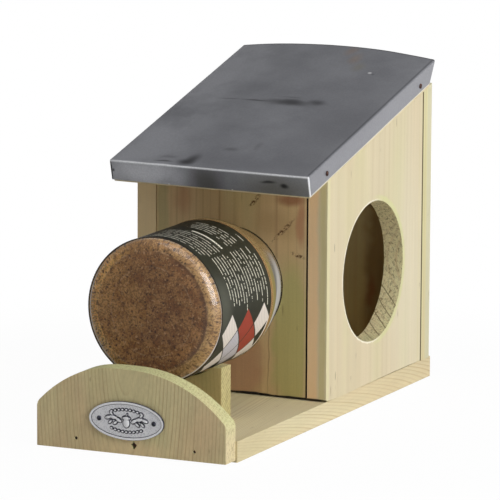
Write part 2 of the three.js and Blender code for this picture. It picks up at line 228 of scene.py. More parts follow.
def pine(name, **changes):
    look = {**pineLook, **changes}
    f = Finish(name)
    body = f.place()
    log = f.place(look["turn"], look["pith"])
    x, y = f.split(log)[:2]
    warp = f.grain(f.stretch(log, (1, 1, look["flow"])), look["warpScale"]) - 0.5
    count = ((x * x + y * y) ** 0.5 + warp * (2 * look["warp"])) / look["ring"]
    year = f.pick(count.call("FLOOR"))
    late = count.call("FRACT").band(look["lateFrom"], 0.9, 0.92, 1.0) * year.span(0.35, 1.0)
    fibre = f.grain(f.stretch(log, (1, 1, 0.02)), 1100.0, 3.0, 0.6)
    streak = f.grain(f.stretch(log, (1, 1, 0.03)), 180.0)
    broad = f.grain(f.stretch(log, (1, 1, 0.2)), 30.0)
    green = f.grain(f.stretch(f.move(log, (0.4, 0.2, 0.1)), (1, 1, 0.2)), 36.0, 1.0)
    f.ground(late * look["lateAmount"], look["early"], look["late"])
    f.lay(broad.rise(0.42, 0.7) * look["blushAmount"], look["blush"])
    f.lay(green.rise(0.48, 0.75) * look["mossAmount"], look["moss"])
    f.paint(body, look["patches"])
    if "rim" in look:
        look["rim"](f, body)
    grit = f.grain(body, 1500.0, 2.0, 0.6)
    shade = fibre.span(1 - look["fibre"], 1 + look["fibre"])
    shade = shade * streak.span(1 - look["streak"], 1 + look["streak"])
    shade = shade * grit.span(1 - look["grit"], 1 + look["grit"])
    f.colour = f.blend(1.0, f.colour, f.join(shade, shade, shade), "MULTIPLY")
    dots = f.cells(f.stretch(log, (1, 1, 0.16)), 240.0)
    chance = f.grain(log, 90.0, 1.0)
    fleck = dots.fall(0.05, 0.2) * chance.rise(0.56, 0.66) * look["fleckAmount"]
    for centre, reach, tilt in look["tears"]:  # rows of small torn flecks beside knots
        away = f.move(body, tuple(-c * mm for c in centre))
        turned = f.node("ShaderNodeMapping", {}, away, (0, 0, 0), (0, tilt, 0))
        torn = f.grain(f.stretch(turned, (1, 1, 0.6)), 760.0, 2.0, 0.6).rise(0.45, 0.58)
        fleck = fleck.call("MAXIMUM", torn * f.spot(turned, (0, 0, 0), reach, 0.7))
    f.lay(fleck, look["fleck"])
    height = fibre * 0.5 + late * 0.35 - fleck * 0.6
    if look["sawn"]:
        rip = f.grain(f.stretch(log, (1, 1, 0.6)), 800.0, 4.0, 0.7)
        height = height + rip * look["sawn"]
        f.lay(rip.fall(0.3, 0.52) * look["shagged"], look["fleck"])
    if "scores" in look:
        cut = look["scores"](f, body)
        f.lay(cut * 0.7, look["fleck"])
        height = height - cut
    rough = fibre.span(look["rough"], look["rough"] + 0.16)
    return f.coated(Roughness=rough, Normal=f.bump(height, 0.5, 0.25))


def zincSheet():
    f = Finish("zinc_sheet")
    tilt = -roof["slope"]
    shift = -(Matrix.Rotation(tilt, 3, "X") @ Vector((0, roof["frontY"], roof["frontZ"])))
    point = f.place((tilt, 0, 0), shift)  # X across, Y up the slope, Z out of the sheet
    x, y, z = f.split(point)
    length, flange, flangeRear = [roof[key] / mm for key in ("length", "flange", "flangeRear")]
    cloud = f.grain(point, 20.0, 4.0, 0.6)
    roll = f.grain(point, 46.0)
    fine = f.grain(point, 900.0, 2.0, 0.6)
    f.ground(cloud.rise(0.3, 0.7), (143, 144, 150), (163, 164, 170))
    f.lay(roll.rise(0.46, 0.72) * y.fall(15, 70) * 0.06, (182, 183, 188))
    f.lay(x.fall(-52, -12) * cloud.rise(0.3, 0.6) * 0.65, (184, 185, 191))
    f.lay(abs(x).rise(61.8, 62.4) * z.fall(-1.2, -0.2) * 0.7, (156, 156, 161))
    # painted shade: the left flange, turned away from the lamps, is laid near black behind the front fold
    f.lay(x.fall(-62.6, -62) * y.rise(0.5, 2) * 0.8, (30, 30, 32))
    f.paint(point, roofMarks)
    # painted highlight along the front fold and the right front corner, where the metal is also made less
    # metallic
    folded = z.band(-1.5, -0.4, -0.25, 0.15) * y.fall(0.2, 1.4)
    corner = x.rise(62, 62.5) * y.fall(0.6, 1.4)
    foldHighlight = folded.call("MAXIMUM", corner)
    f.lay(foldHighlight * 0.95, (246, 247, 250))
    f.lay(y.rise(length - 1.3, length - 0.7) * 0.6, (58, 58, 60))
    # painted shade: a dark line along the right fold of the top
    edge = z.fall(0.6, 1.2) * x.band(60.6, 61.6, 62, 62.5)
    f.lay(edge * y.rise(1, 3) * 0.5, (84, 84, 88))
    # painted highlight: a pale line along the lower edge of the side flanges
    flangeEdgeHighlight = (z + flange - y * ((flange - flangeRear) / length)).fall(0.4, 0.8)
    f.lay(flangeEdgeHighlight * x.rise(61.8, 62.4) * 0.8, (250, 244, 228))
    f.lay(fine.rise(0.35, 0.65) * 0.12, (90, 90, 92))
    return f.coated(Metallic=foldHighlight.span(0.5, 0.1), Roughness=cloud.span(0.34, 0.46),
                    Normal=f.bump(fine * 0.3 + cloud, 0.2, 0.3))


def nailSteel():
    f = Finish("nail_steel")
    rust = f.grain(f.place(), 900.0, 4.0, 0.65).rise(0.4, 0.62)
    f.ground(rust, (72, 62, 58), (96, 54, 36))
    return f.coated(Metallic=(1 - rust) * 0.8, Roughness=rust.span(0.35, 0.8), Normal=f.bump(rust, 0.5, 0.1))


def plaqueMetal():
    f = Finish("plaque_metal")
    point = f.place()
    stipple = f.cells(point, 1100.0)
    wear = f.grain(point, 260.0, 3.0, 0.6)
    field = (f.split(point)[1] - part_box("plaque")[0].y / mm).rise(0.25, 0.5)
    f.ground(wear.rise(0.35, 0.7), (242, 242, 246), (252, 252, 254))
    f.lay(field * 0.12, (166, 166, 178))
    f.lay(stipple.fall(0.1, 0.45) * 0.4 * field, (92, 92, 104))
    return f.coated(Metallic=0.05, Roughness=wear.span(0.3, 0.45), Normal=f.bump(stipple * field, 0.6, 0.15))


def plaqueShade():  # painted shade: dark dull metal for the casting's steep walls and the skirts under its relief, and for the pins
    f = Finish("plaque_shade_and_dark_metal")
    wear = f.grain(f.place(), 700.0, 3.0, 0.6)
    f.ground(wear.rise(0.4, 0.6), (40, 40, 50), (88, 88, 102))
    return f.coated(Metallic=0.3, Roughness=wear.span(0.5, 0.6))


def jarPlace(f):  # a point; millimetres across, above the axis, along from the foot and out from the axis
    point = f.place()
    x, y, z = f.split(point)
    up = z - jarAxis.z / mm
    return point, x, up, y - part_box("jar_glass")[0].y / mm, (x * x + up * up) ** 0.5


def clearGlass():
    f = Finish("jar_glass")
    point, x, up, along, away = jarPlace(f)
    foot = along.fall(8, 9)
    ripple = f.grain(point, 60.0, 1.0, 0.4)
    glass = f.shell(Base_Color=(0.96, 0.97, 0.96, 1), Roughness=0.05, IOR=1.5, Transmission_Weight=1.0,
                    Normal=f.bump(ripple, 0.06, 0.5))
    sheen = f.node("ShaderNodeBsdfAnisotropic", {}, (0.94, 0.93, 1.0, 1), 0.42)
    glass = f.mixed(foot * away.rise(31, 35) * 0.05, glass, sheen)
    across = x / away
    right = across.rise(0.72, 0.96)
    shoulder = along.band(71.4, 71.8, 92, 100)
    # Painted light in the shoulder, mixed in as a matte film strongest on the side towards the key lamp: tan
    # where the paste shows through, brown where the panel shows through, grey where the lamp reflects, dark
    # refraction lines near the top.
    f.ground(along.rise(71.8, 73), (182, 140, 90), (154, 140, 88))  # painted refraction and reflection in the shoulder
    f.lay(along.rise(76, 80), (128, 126, 122))
    f.lay(1 - right, (158, 132, 90))
    upper = across.band(0.25, 0.45, 0.74, 0.84) * along.rise(74, 77)
    f.lay((along / 1.5).call("FRACT").band(0.55, 0.7, 0.85, 0.95) * upper * 0.6, (52, 34, 20))
    glass = f.mixed(shoulder * right.span(0.5, 0.62), glass, f.matte(f.colour))
    left = (0 - across).rise(0.2, 0.8)
    upward = (up / away).rise(0.2, 0.8)
    # painted reflection along the glass's outline: a pale line inside a dark one, strongest round the foot
    # and on the lower left
    facing = f.node("ShaderNodeLayerWeight", {}, 0.5, out="Facing")
    turned = facing + foot * left.span(0.25, 0.31) - shoulder * 0.08
    pale = turned.band(0.72, 0.76, 0.82, 0.86) * (foot + shoulder * right)
    pale = pale * upward.span(1.0, 0.3) * foot.span(0.4, 0.6)
    glass = f.mixed(pale, glass, f.matte((0.8, 0.79, 0.78, 1)))
    glass = f.mixed(turned.rise(0.84, 0.9) * 0.85, glass, f.matte((0.03, 0.03, 0.03, 1)))
    return f.done(f.mixed(f.ray("Is Shadow Ray"), glass, f.clear((0.95, 0.97, 0.95, 1))))


def peanutPaste():
    f = Finish("peanut_butter")
    point, x, up, along, away = jarPlace(f)
    flat = f.stretch(point, (1, 0, 1))  # the floor of the jar is a plane, so its specks are drawn in it
    mottle = f.grain(point, 40.0, 3.0, 0.6)
    cloud = f.grain(point, 120.0, 3.0, 0.65)
    fine = f.grain(point, 900.0, 2.0, 0.6)
    chance = f.grain(point, 150.0, 1.0)
    under = along.fall(7, 9)
    lit = (x / away + (mottle - 0.5) * 0.8).rise(-0.15, 0.75) * (1 - up.rise(24, 34) * 0.4)
    left = (0 - x / away).rise(0.3, 0.8)
    patchy = cloud.rise(0.3, 0.68)
    shaded = f.blend(patchy, f.blend(left, tint(156, 110, 56), tint(248, 180, 92)),
                     f.blend(left, tint(182, 134, 76), tint(255, 206, 118)))
    f.ground(patchy, (176, 134, 78), (200, 160, 104))
    f.colour = f.blend(lit.call("MAXIMUM", 1 - under), shaded, f.colour)
    brown = f.blend(cloud.rise(0.35, 0.65), tint(136, 87, 43), tint(186, 134, 80))
    edge = away + (mottle - 0.5) * 1.2
    disc = edge.fall(33.8, 34.4) * under
    f.colour = f.blend(disc * lit.span(0.8, 1.0), f.colour, brown)
    f.lay(disc * edge.rise(31.8, 33.6) * lit * 0.55, (84, 52, 26))
    stud = (up.call("ARCTAN2", x) * 23.0).call("FRACT").band(0.3, 0.45, 0.7, 0.85)  # dots round the foot
    f.lay(stud * away.band(36, 36.4, 37, 37.4) * under * left * 0.8, (250, 216, 176))
    for radius, breadth in ((34.2, 0.8), (25.6, 0.7)):  # rings moulded in the foot
        ridge = away.band(radius - breadth, radius, radius, radius + breadth)
        f.lay(ridge * under * chance.rise(0.35, 0.6) * 0.5, (206, 170, 128))
    f.lay(f.grain(flat, 150.0, 3.0, 0.65).rise(0.54, 0.66) * (1 - disc) * 0.5, (132, 84, 38))
    f.lay(fine.rise(0.46, 0.58) * 0.55, (84, 54, 26))
    f.lay(f.grain(flat, 420.0, 2.0, 0.6).rise(0.57, 0.64) * 0.7, (72, 38, 12))
    f.lay(f.grain(f.move(flat, (0.7, 0.0, 0.4)), 560.0, 1.0).rise(0.6, 0.72) * 0.6, (216, 172, 120))
    f.lay(f.cells(flat, 520.0).fall(0.08, 0.2) * chance.rise(0.45, 0.55) * 0.7, (206, 168, 116))
    speck = f.cells(f.move(flat, (0.3, 0.0, 0.2)), 330.0).fall(0.14, 0.28)
    f.lay(speck * f.grain(flat, 260.0, 1.0).rise(0.4, 0.48) * 0.85, (60, 30, 8))
    return f.coated(Roughness=0.6, Normal=f.bump(fine + cloud, 0.4, 0.3))


# Roof: drawn flat, X across, Y up the slope from the front fold, Z out of the sheet

roof = {
    "slope": math.radians(14.35), "flange": 12.1 * mm, "flangeRear": 11.2 * mm, "tail": 10.7 * mm,
    "thick": 0.7 * mm, "crown": 4.6 * mm, "fold": 0.9 * mm, "foldSteps": 4, "rows": 36, "columns": 24,
    "wave": 0.22 * mm, "flangeWave": 0.132 * mm, "topReach": 1.5 * mm,
}
sheetLow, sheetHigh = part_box("roof_sheet")
roof["width"] = sheetHigh.x - sheetLow.x
roof["frontY"] = sheetLow.y
roof["frontZ"] = sheetLow.z + roof["flange"] * math.cos(roof["slope"])
roof["length"] = (sheetHigh.y - sheetLow.y) / math.cos(roof["slope"])
roofFrame = Matrix.Translation((0, roof["frontY"], roof["frontZ"])) @ Matrix.Rotation(roof["slope"], 4, "X")

roofMarks = (
    # the next two rows are painted reflection: lighter patches on the front flange
    ((-40, 0, -6), (38, 2, 14), (226, 227, 232), 0.92, 0.9, 2),
    ((40, 0, -6), (42, 2, 14), (194, 195, 197), 0.65, 0.9, 2),
    ((48, 60, 0), (34, 110, 9), (134, 135, 141), 0.45, 0.9, 0),
    ((4, 12, 0), (56, 16, 9), (134, 135, 141), 0.4, 0.9, 4),
    ((-31, 94, 0), (12, 1.2, 9), (88, 88, 92), 0.5, 0.9, 1),
    ((-14, 93.6, 0), (12, 1.8, 9), (64, 64, 67), 0.8, 0.9, 1),
    ((4, 94.2, 0), (19, 6, 9), (60, 60, 63), 0.75, 0.95, 2),
    ((9, 93.8, 0), (12, 6.5, 9), (34, 34, 36), 0.85, 0.95, 2),
    ((23, 97, 0), (9, 5.5, 9), (60, 60, 63), 0.75, 0.95, 2),
    ((5, 100.6, 0), (13, 1.6, 9), (92, 92, 95), 0.5, 0.9, 2),
    ((4, 93, 0), (30, 7, 9), (112, 112, 115), 0.4, 0.95, 4),
    ((-17, 6, 0), (8, 6, 9), (44, 44, 46), 0.8, 0.95, 1),
    ((-14.4, 10, 0), (6, 10, 9), (54, 54, 56), 0.75, 0.95, 1),
    ((-30, 5, 0), (8, 1.8, 9), (70, 70, 73), 0.7, 0.9, 2),
    ((-30, 11, 0), (9, 3, 9), (104, 104, 107), 0.5, 0.9, 4),
    ((1.7, 26.8, 0), (6, 3.6, 9), (100, 100, 103), 0.5, 0.9, 3),
    ((16, 34, 0), (3.5, 9, 9), (116, 116, 119), 0.4, 0.95, 3),
    ((12, 171, 0), (6, 11, 9), (172, 140, 114), 0.6, 0.95, 2),
    ((19, 160.4, 0), (6, 12, 9), (172, 144, 118), 0.6, 0.95, 2),
    ((25.6, 150, 0), (6, 10, 9), (154, 146, 122), 0.5, 0.95, 2),
    ((35.6, 144.4, 0), (1.7, 1.7, 9), (246, 246, 248), 0.95, 0.6, 0),
    ((38, 143, 0), (1.6, 2, 9), (78, 78, 82), 0.5, 0.8, 1),
    ((-2, 0, -8), (17, 3, 16), (96, 93, 88), 0.8, 0.9, 2),
    ((42, 0, -9), (34, 3, 13), (118, 116, 110), 0.8, 0.9, 2),
    ((37, 0, -5), (7, 3, 1.2), (36, 36, 38), 0.8, 0.8, 2),
    ((47, 0, -6.5), (4, 3, 1.8), (30, 30, 32), 0.9, 0.8, 2),
    ((-61, 0, -6), (1.2, 3, 1.5), (52, 52, 54), 0.8, 0.8, 1),
    # painted shade in the open seam at the left end of the front flange
    ((-63, 0, -6), (1.7, 3, 12), (14, 14, 15), 1.0, 0.4, 0),
    ((-26, 0, -12), (1.0, 3, 0.8), (236, 236, 236), 0.9, 0.7, 0),
    ((14, 0, -12), (0.8, 3, 0.7), (236, 236, 236), 0.9, 0.7, 0),
)


# Mesh helpers

def put(name, data):
    made = bpy.data.objects.new(name, data)
    bpy.context.scene.collection.objects.link(made)
    return made


def asObject(bm, name, finishes):
    mesh = bpy.data.meshes.new(name)
    bm.to_mesh(mesh)
    bm.free()
    for finish in finishes:
        mesh.materials.append(finish)
    return put(name, mesh)


def asPiece(bm, name, finishes, body, stands, sharp=math.radians(50), flat=True):
    bmesh.ops.remove_doubles(bm, verts=bm.verts, dist=0.001 * mm)
    for face in bm.faces:
        face.smooth = True
    for edge in bm.edges:
        edge.smooth = len(edge.link_faces) == 2 and edge.calc_face_angle() < sharp
    piece = asObject(bm, name, finishes)
    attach(piece, body)
    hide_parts(*stands)
    if flat:
        even = piece.modifiers.new("normals", "WEIGHTED_NORMAL")
        even.keep_sharp = True
    return piece


def board(bm, node, finishes):
    asPiece(bm, f"{node}_wood", finishes, "box", [node])


def linked(bm, verts, closed=True):
    ends = zip(verts, verts[1:] + (verts[:1] if closed else []))
    return [bm.edges.new(pair) for pair in ends]


def chain(bm, points):
    return linked(bm, [bm.verts.new((u, v, 0)) for u, v in points])


def spunArc(bm, start, centre, angle, steps):  # its first and its leftmost point
    first = bm.verts.new(start)
    bmesh.ops.spin(bm, geom=[first], cent=(0, centre, 0), axis=(0, 0, 1), dvec=(0, 0, 0), angle=angle,
                   steps=steps, use_merge=False, use_duplicate=False)
    return first, min(bm.verts, key=lambda v: v.co.x)


def lathe(places, axis, steps, closed=False):
    bm = bmesh.new()
    verts = [bm.verts.new(place) for place in places]
    bmesh.ops.spin(bm, geom=verts + linked(bm, verts, closed), cent=(0, 0, 0), axis=axis, dvec=(0, 0, 0),
                   angle=2 * math.pi, steps=steps, use_merge=True, use_duplicate=False)
    bmesh.ops.remove_doubles(bm, verts=bm.verts, dist=0.001 * mm)
    return bm


def ring(bm, centre, radius, segments, ragged=0.0):
    made = bmesh.ops.create_circle(bm, segments=segments, radius=radius,
                                   matrix=Matrix.Translation((*centre, 0)))
    for vert in made["verts"]:
        away = vert.co - Vector((*centre, 0))
        vert.co += away.normalized() * noise.noise(vert.co * 900 + Vector((3, 5, 7))) * ragged
    return list({e for vert in made["verts"] for e in vert.link_edges})


def raised(bm, depth):  # gives flat faces depth, and returns their far ends
    made = bmesh.ops.extrude_face_region(bm, geom=bm.faces[:])["geom"]
    moved = [g for g in made if isinstance(g, bmesh.types.BMVert)]
    bmesh.ops.translate(bm, verts=moved, vec=(0, 0, depth))
    return [g for g in made if isinstance(g, bmesh.types.BMFace)]


def creases(bm, degrees):
    return [e for e in bm.edges if len(e.link_faces) == 2 and e.calc_face_angle() > math.radians(degrees)]


def rounded(bm, edges, offset, segments=2):
    bmesh.ops.bevel(bm, geom=edges, offset=offset, offset_type="OFFSET", segments=segments, profile=0.5,
                    affect="EDGES", clamp_overlap=True, material=-1)


def fillBoard(bm, edges, depth, soften, segments=2):  # fills the loops, gives them depth, rounds the rims
    bmesh.ops.triangle_fill(bm, use_beauty=True, edges=edges)
    raised(bm, depth)
    bmesh.ops.recalc_face_normals(bm, faces=bm.faces)
    if soften:
        rounded(bm, creases(bm, 30), soften, segments)


def sliced(bm, place, normal, clear=False):  # returns the edges of the cut
    made = bmesh.ops.bisect_plane(bm, geom=bm.verts[:] + bm.edges[:] + bm.faces[:], dist=0.01 * mm,
                                  plane_co=place, plane_no=normal, clear_outer=clear)
    return [g for g in made["geom_cut"] if isinstance(g, bmesh.types.BMEdge)]


def cutToSlope(bm, place):
    upward = Vector((0, -math.sin(roof["slope"]), math.cos(roof["slope"])))
    bmesh.ops.holes_fill(bm, edges=sliced(bm, place, upward, True), sides=0)


def settle(bm, place, turn=Matrix()):
    bmesh.ops.transform(bm, matrix=Matrix.Translation(place) @ turn, verts=bm.verts)
    bmesh.ops.recalc_face_normals(bm, faces=bm.faces)


def markFaces(bm, test):
    for face in bm.faces:
        if test(face.calc_center_median(), face.normal):
            face.material_index = 1


facingFront = Matrix(((1, 0, 0, 0), (0, 0, 1, 0), (0, 1, 0, 0), (0, 0, 0, 1)))
facingSide = Matrix(((0, 0, 1, 0), (1, 0, 0, 0), (0, 1, 0, 0), (0, 0, 0, 1)))

nailPit = {"radius": 0.95 * mm, "segments": 14, "ragged": 0.3 * mm}


def pit(bm, centre, ragged=nailPit["ragged"]):
    return ring(bm, centre, nailPit["radius"], nailPit["segments"], ragged)


def nailsIn(prefix):
    return sorted(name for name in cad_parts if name.startswith(prefix))


def middle(node):
    low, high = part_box(node)
    return (low + high) / 2


# Stop plate

plate = {
    "sideHeight": 22.5 * mm, "fuller": 2.2 * mm, "rightFoot": 1.2 * mm, "arcSteps": 64, "soften": 0.5 * mm,
    "corner": 6.0 * mm, "cornerSteps": 6, "ragged": 0.35 * mm, "tornAcross": 0.6 * mm, "tornUp": 1.6 * mm,
}


def stopPlate(finishes):
    low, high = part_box("front_stop_plate")
    half = high.x
    rise = high.z - plate["sideHeight"]
    arcRadius = (rise ** 2 + half ** 2) / (2 * rise)
    angle = math.pi - 2 * math.acos(half / arcRadius)
    bm = bmesh.new()
    first, last = spunArc(bm, (half, plate["sideHeight"], 0), high.z - arcRadius, angle, plate["arcSteps"])
    for vert in bm.verts:  # the curve is cut by hand, a little fuller on its left half
        left = min(1.0, max(0.0, -vert.co.x / (half / 2)))
        vert.co.y += plate["fuller"] * left * left * (3 - 2 * left)
    feet = [bm.verts.new((-half, 0, 0)), bm.verts.new((half, plate["rightFoot"], 0))]  # sawn a little askew
    linked(bm, [last, *feet, first], closed=False)
    edges = bm.edges[:]
    for node in nailsIn("stop_plate_nail"):
        at = middle(node)
        rim = pit(bm, (at.x, at.z), plate["ragged"])
        torn = {v for e in rim for v in e.verts} if node.endswith("2") else ()
        for vert in torn:  # the middle pit is torn out, mostly up and down
            away = (vert.co - Vector((at.x, at.z, 0))) / nailPit["radius"]
            vert.co.x += away.x * abs(away.x) ** 5 * plate["tornAcross"]
            vert.co.y += away.y * abs(away.y) ** 5 * plate["tornUp"]
        edges += rim
    fillBoard(bm, edges, high.y - low.y, 0)
    corners = [e for e in bm.edges if abs(e.verts[0].co.z - e.verts[1].co.z) > 5 * mm
               and abs(abs(e.verts[0].co.x) - half) < 0.1 * mm and e.verts[0].co.y > 5 * mm]
    rounded(bm, corners, plate["corner"], plate["cornerSteps"])
    rounded(bm, creases(bm, 40), plate["soften"])
    settle(bm, (0, low.y, 0), facingFront)
    markFaces(bm, lambda c, n: abs(n.y) < 0.5 and (n.z > 0.1 or n.x > 0.5))
    board(bm, "front_stop_plate", finishes)


# Jar rest, boards of the box and the base

rest = {"notch": 41.8 * mm, "steps": 24, "soften": 0.4 * mm}
jarAxis = Vector((0, 0, middle("jar_glass").z))


def jarRest(finishes):
    low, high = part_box("jar_rest")
    reach = math.acos((jarAxis.z - high.z) / rest["notch"])
    bm = bmesh.new()
    begin = Vector((math.sin(reach), -math.cos(reach), 0)) * rest["notch"] + Vector((0, jarAxis.z, 0))
    first, last = spunArc(bm, begin, jarAxis.z, -2 * reach, rest["steps"])
    corners = [(low.x, high.z), (low.x, low.z), (high.x, low.z), (high.x, high.z)]
    linked(bm, [last, *[bm.verts.new((u, v, 0)) for u, v in corners], first], closed=False)
    fillBoard(bm, bm.edges[:], high.y - low.y, rest["soften"])
    settle(bm, (0, low.y, 0), facingFront)
    markFaces(bm, lambda c, n: abs(n.y) < 0.5)
    board(bm, "jar_rest", finishes)


panels = {
    "soften": 0.4 * mm, "holeSegments": 176,
    "jarHole": 32.75 * mm, "jarHoleRagged": 0.1 * mm, "jarHoleRim": 1.25 * mm, "frontSoften": 0.25 * mm,
    "side": 0.5 * mm, "footSteps": 48, "footWave": 0.45 * mm,  # so far the front panel, next the side panels
    "seam": 0.8 * mm, "lift": 0.7 * mm, "liftSteps": 8, "liftStep": 2 * mm, "liftWave": 0.25 * mm,
    "footFrom": 24 * mm, "footTo": 56 * mm, "foot": 0.4 * mm, "frayed": 0.5 * mm, "holeRim": 0.5 * mm,
}
entrance = {"y": 44.25, "z": 77.7, "radius": 41.0}  # in millimetres


def topLine(node):  # heights of a board's sloping top at its front and back
    low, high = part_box(node)
    drop = (high.y - low.y) * math.tan(roof["slope"])
    return high.z - drop, high.z


def frontPanel(finishes):
    low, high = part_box("front_panel")
    frontTop, backTop = topLine("front_panel")
    bm = bmesh.new()
    steps = panels["footSteps"]
    right = high.x - panels["side"]
    foot = [low.x + (right - low.x) * i / steps for i in range(steps + 1)]
    bottom = [(x, low.z + panels["footWave"] * noise.noise(Vector((x * 700, 2, 0)))) for x in foot]
    edges = chain(bm, [*bottom, (right, backTop), (low.x, backTop)])
    edges += ring(bm, (0, jarAxis.z), panels["jarHole"], panels["holeSegments"], panels["jarHoleRagged"])
    fillBoard(bm, edges, high.y - low.y, panels["frontSoften"], 1)
    settle(bm, (0, low.y, 0), facingFront)
    cutToSlope(bm, (0, low.y, frontTop))
    reach = panels["jarHole"] + panels["jarHoleRim"]
    markFaces(bm, lambda c, n: abs(n.y) < 0.5 and Vector((c.x, c.z - jarAxis.z)).length < reach)
    board(bm, "front_panel", finishes)


def sidePanel(side, finishes):
    node = f"{side}_side_panel"
    low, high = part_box(node)
    frontTop, backTop = topLine(node)
    bm = bmesh.new()
    rear = high.y - panels["seam"]
    sole = low.z + panels["foot"]
    steps = panels["liftSteps"]
    lift = [(low.y + panels["liftStep"] * i, low.z + panels["lift"] * (1 - i / steps)
             + panels["liftWave"] * noise.noise(Vector((i * 0.9, 4, 0)))) for i in range(steps)]
    foot = [(low.y + panels["footFrom"], low.z), (low.y + panels["footTo"], sole), (rear, sole)]
    edges = chain(bm, [*lift, *foot, (rear, backTop), (low.y, frontTop)])
    radius = entrance["radius"] * mm
    centre = Vector((entrance["y"] * mm, entrance["z"] * mm, 0))
    if side == "right":
        hole = ring(bm, centre.xy, radius, panels["holeSegments"])
        for vert in {v for edge in hole for v in edge.verts}:  # the saw frays the rear half
            away = (vert.co - centre).normalized()
            vert.co += away * noise.noise(vert.co * 500) * panels["frayed"] * max(0.15, away.x)
        edges += hole
    fillBoard(bm, edges, high.x - low.x, panels["soften"])
    settle(bm, (low.x, 0, 0), facingSide)
    markFaces(bm, lambda c, n: side == "right" and abs(n.x) < 0.5
              and (c.yz - centre.xy).length < radius + panels["holeRim"])
    board(bm, node, finishes)


def backPanel(finishes):
    low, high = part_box("back_panel")
    frontTop, backTop = topLine("back_panel")
    bm = bmesh.new()
    edges = chain(bm, [(low.x, low.z), (high.x, low.z), (high.x, backTop), (low.x, backTop)])
    for nail in nailsIn("back_panel_nail"):
        edges += pit(bm, middle(nail).xz)
    fillBoard(bm, edges, high.y - low.y, 0)
    settle(bm, (0, low.y, 0), facingFront)
    cutToSlope(bm, (0, low.y, frontTop))
    rounded(bm, [e for e in creases(bm, 40) if e.calc_length() > 5 * mm], panels["soften"])
    board(bm, "back_panel", finishes)


base = {"cornerCut": 3.0 * mm, "soften": 0.6 * mm}


def baseBoard(finishes):
    low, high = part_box("base_board")
    cut = base["cornerCut"]
    bm = bmesh.new()
    edges = chain(bm, [(low.x, low.y), (high.x, low.y), (high.x, high.y - cut), (high.x - cut, high.y),
                       (low.x + cut, high.y), (low.x, high.y - cut)])
    for nail in nailsIn("base_nail") + nailsIn("jar_rest_nail"):
        edges += pit(bm, middle(nail).xy)
    fillBoard(bm, edges, high.z - low.z, base["soften"])
    board(bm, "base_board", finishes)


roofPlank = {"thick": 12.6 * mm, "front": 1.0 * mm, "rear": 168.6 * mm, "drop": 1.0 * mm, "soften": 0.6 * mm}


def block(size, centre):
    bm = bmesh.new()
    bmesh.ops.create_cube(bm, size=1.0)
    bmesh.ops.scale(bm, vec=size, verts=bm.verts)
    bmesh.ops.translate(bm, vec=centre, verts=bm.verts)
    return bm


def roofBoard(finishes):
    thick, drop = roofPlank["thick"], roofPlank["drop"]
    length = roofPlank["rear"] - roofPlank["front"]
    centre = (0, roofPlank["front"] + length / 2, -drop - thick / 2)
    bm = block((roof["width"] - 2 * drop, length, thick), centre)
    rounded(bm, bm.edges[:], roofPlank["soften"])
    bmesh.ops.transform(bm, matrix=roofFrame, verts=bm.verts)
    board(bm, "roof_board", finishes)


def roofSheet(finishes):
    width, length, flange = roof["width"], roof["length"], roof["flange"]
    bm = block((width, length, flange), (0, length / 2, -flange / 2))
    gone = [f for f in bm.faces if f.normal.z < -0.5 or f.normal.y > 0.5]
    bmesh.ops.delete(bm, geom=gone, context="FACES")
    for vert in bm.verts:  # the flanges taper and are snipped at the back
        if vert.co.z < -flange / 2 and vert.co.y > length / 2:
            vert.co.y = length - roof["tail"]
            vert.co.z = -roof["flangeRear"]
    rounded(bm, [e for e in bm.edges if len(e.link_faces) == 2], roof["fold"], roof["foldSteps"])
    for i in range(1, roof["rows"]):
        sliced(bm, (0, length * i / roof["rows"], 0), (0, 1, 0))
    middleColumn = roof["columns"] // 2
    for i in range(1 - middleColumn, middleColumn):
        sliced(bm, (width / roof["columns"] * i, 0, 0), (1, 0, 0))
    for vert in bm.verts:
        across = min(1.0, abs(2 * vert.co.x / width))
        along = vert.co.y / length
        ripple = noise.noise(vert.co * 26) + 0.5 * noise.noise(vert.co * 60)
        swing = roof["flangeWave"] * (-vert.co.z / flange)
        if vert.co.z > -roof["topReach"]:
            vert.co.z += roof["crown"] * (1 - across ** 2) * along
            vert.co.z += roof["wave"] * ripple * (1 - across ** 6)
        elif across > 0.99:
            vert.co.x += ripple * swing
        else:
            vert.co.y += abs(ripple) * swing
    bmesh.ops.recalc_face_normals(bm, faces=bm.faces)
    if sum(f.normal.z * f.calc_area() for f in bm.faces) < 0:
        bmesh.ops.reverse_faces(bm, faces=bm.faces)
    bmesh.ops.transform(bm, matrix=roofFrame, verts=bm.verts)
    piece = asPiece(bm, "roof_sheet_zinc", finishes, "box", ["roof_sheet"], flat=False)
    wall = piece.modifiers.new("thickness", "SOLIDIFY")
    wall.thickness = roof["thick"]
    wall.offset = -1


# Nails and pins: a shank and a head turned on a lathe, then set in place of the plain ones

nailShapes = {
    "brad": {"shank": 0.8, "head": 1.0, "thick": 1.0, "dome": 0.15, "length": 26.0},
    "clout": {"shank": 0.8, "head": 1.5, "thick": 0.3, "dome": 0.5, "length": 15.0},
    "pin": {"shank": 0.6, "head": 1.4, "thick": 0.3, "dome": 0.6, "length": 8.0},
}
nailCut = {"steps": 24, "point": 2.0, "under": 0.94, "bevel": 0.12, "crest": (0.35, 0.7, 1.05, 1.35)}


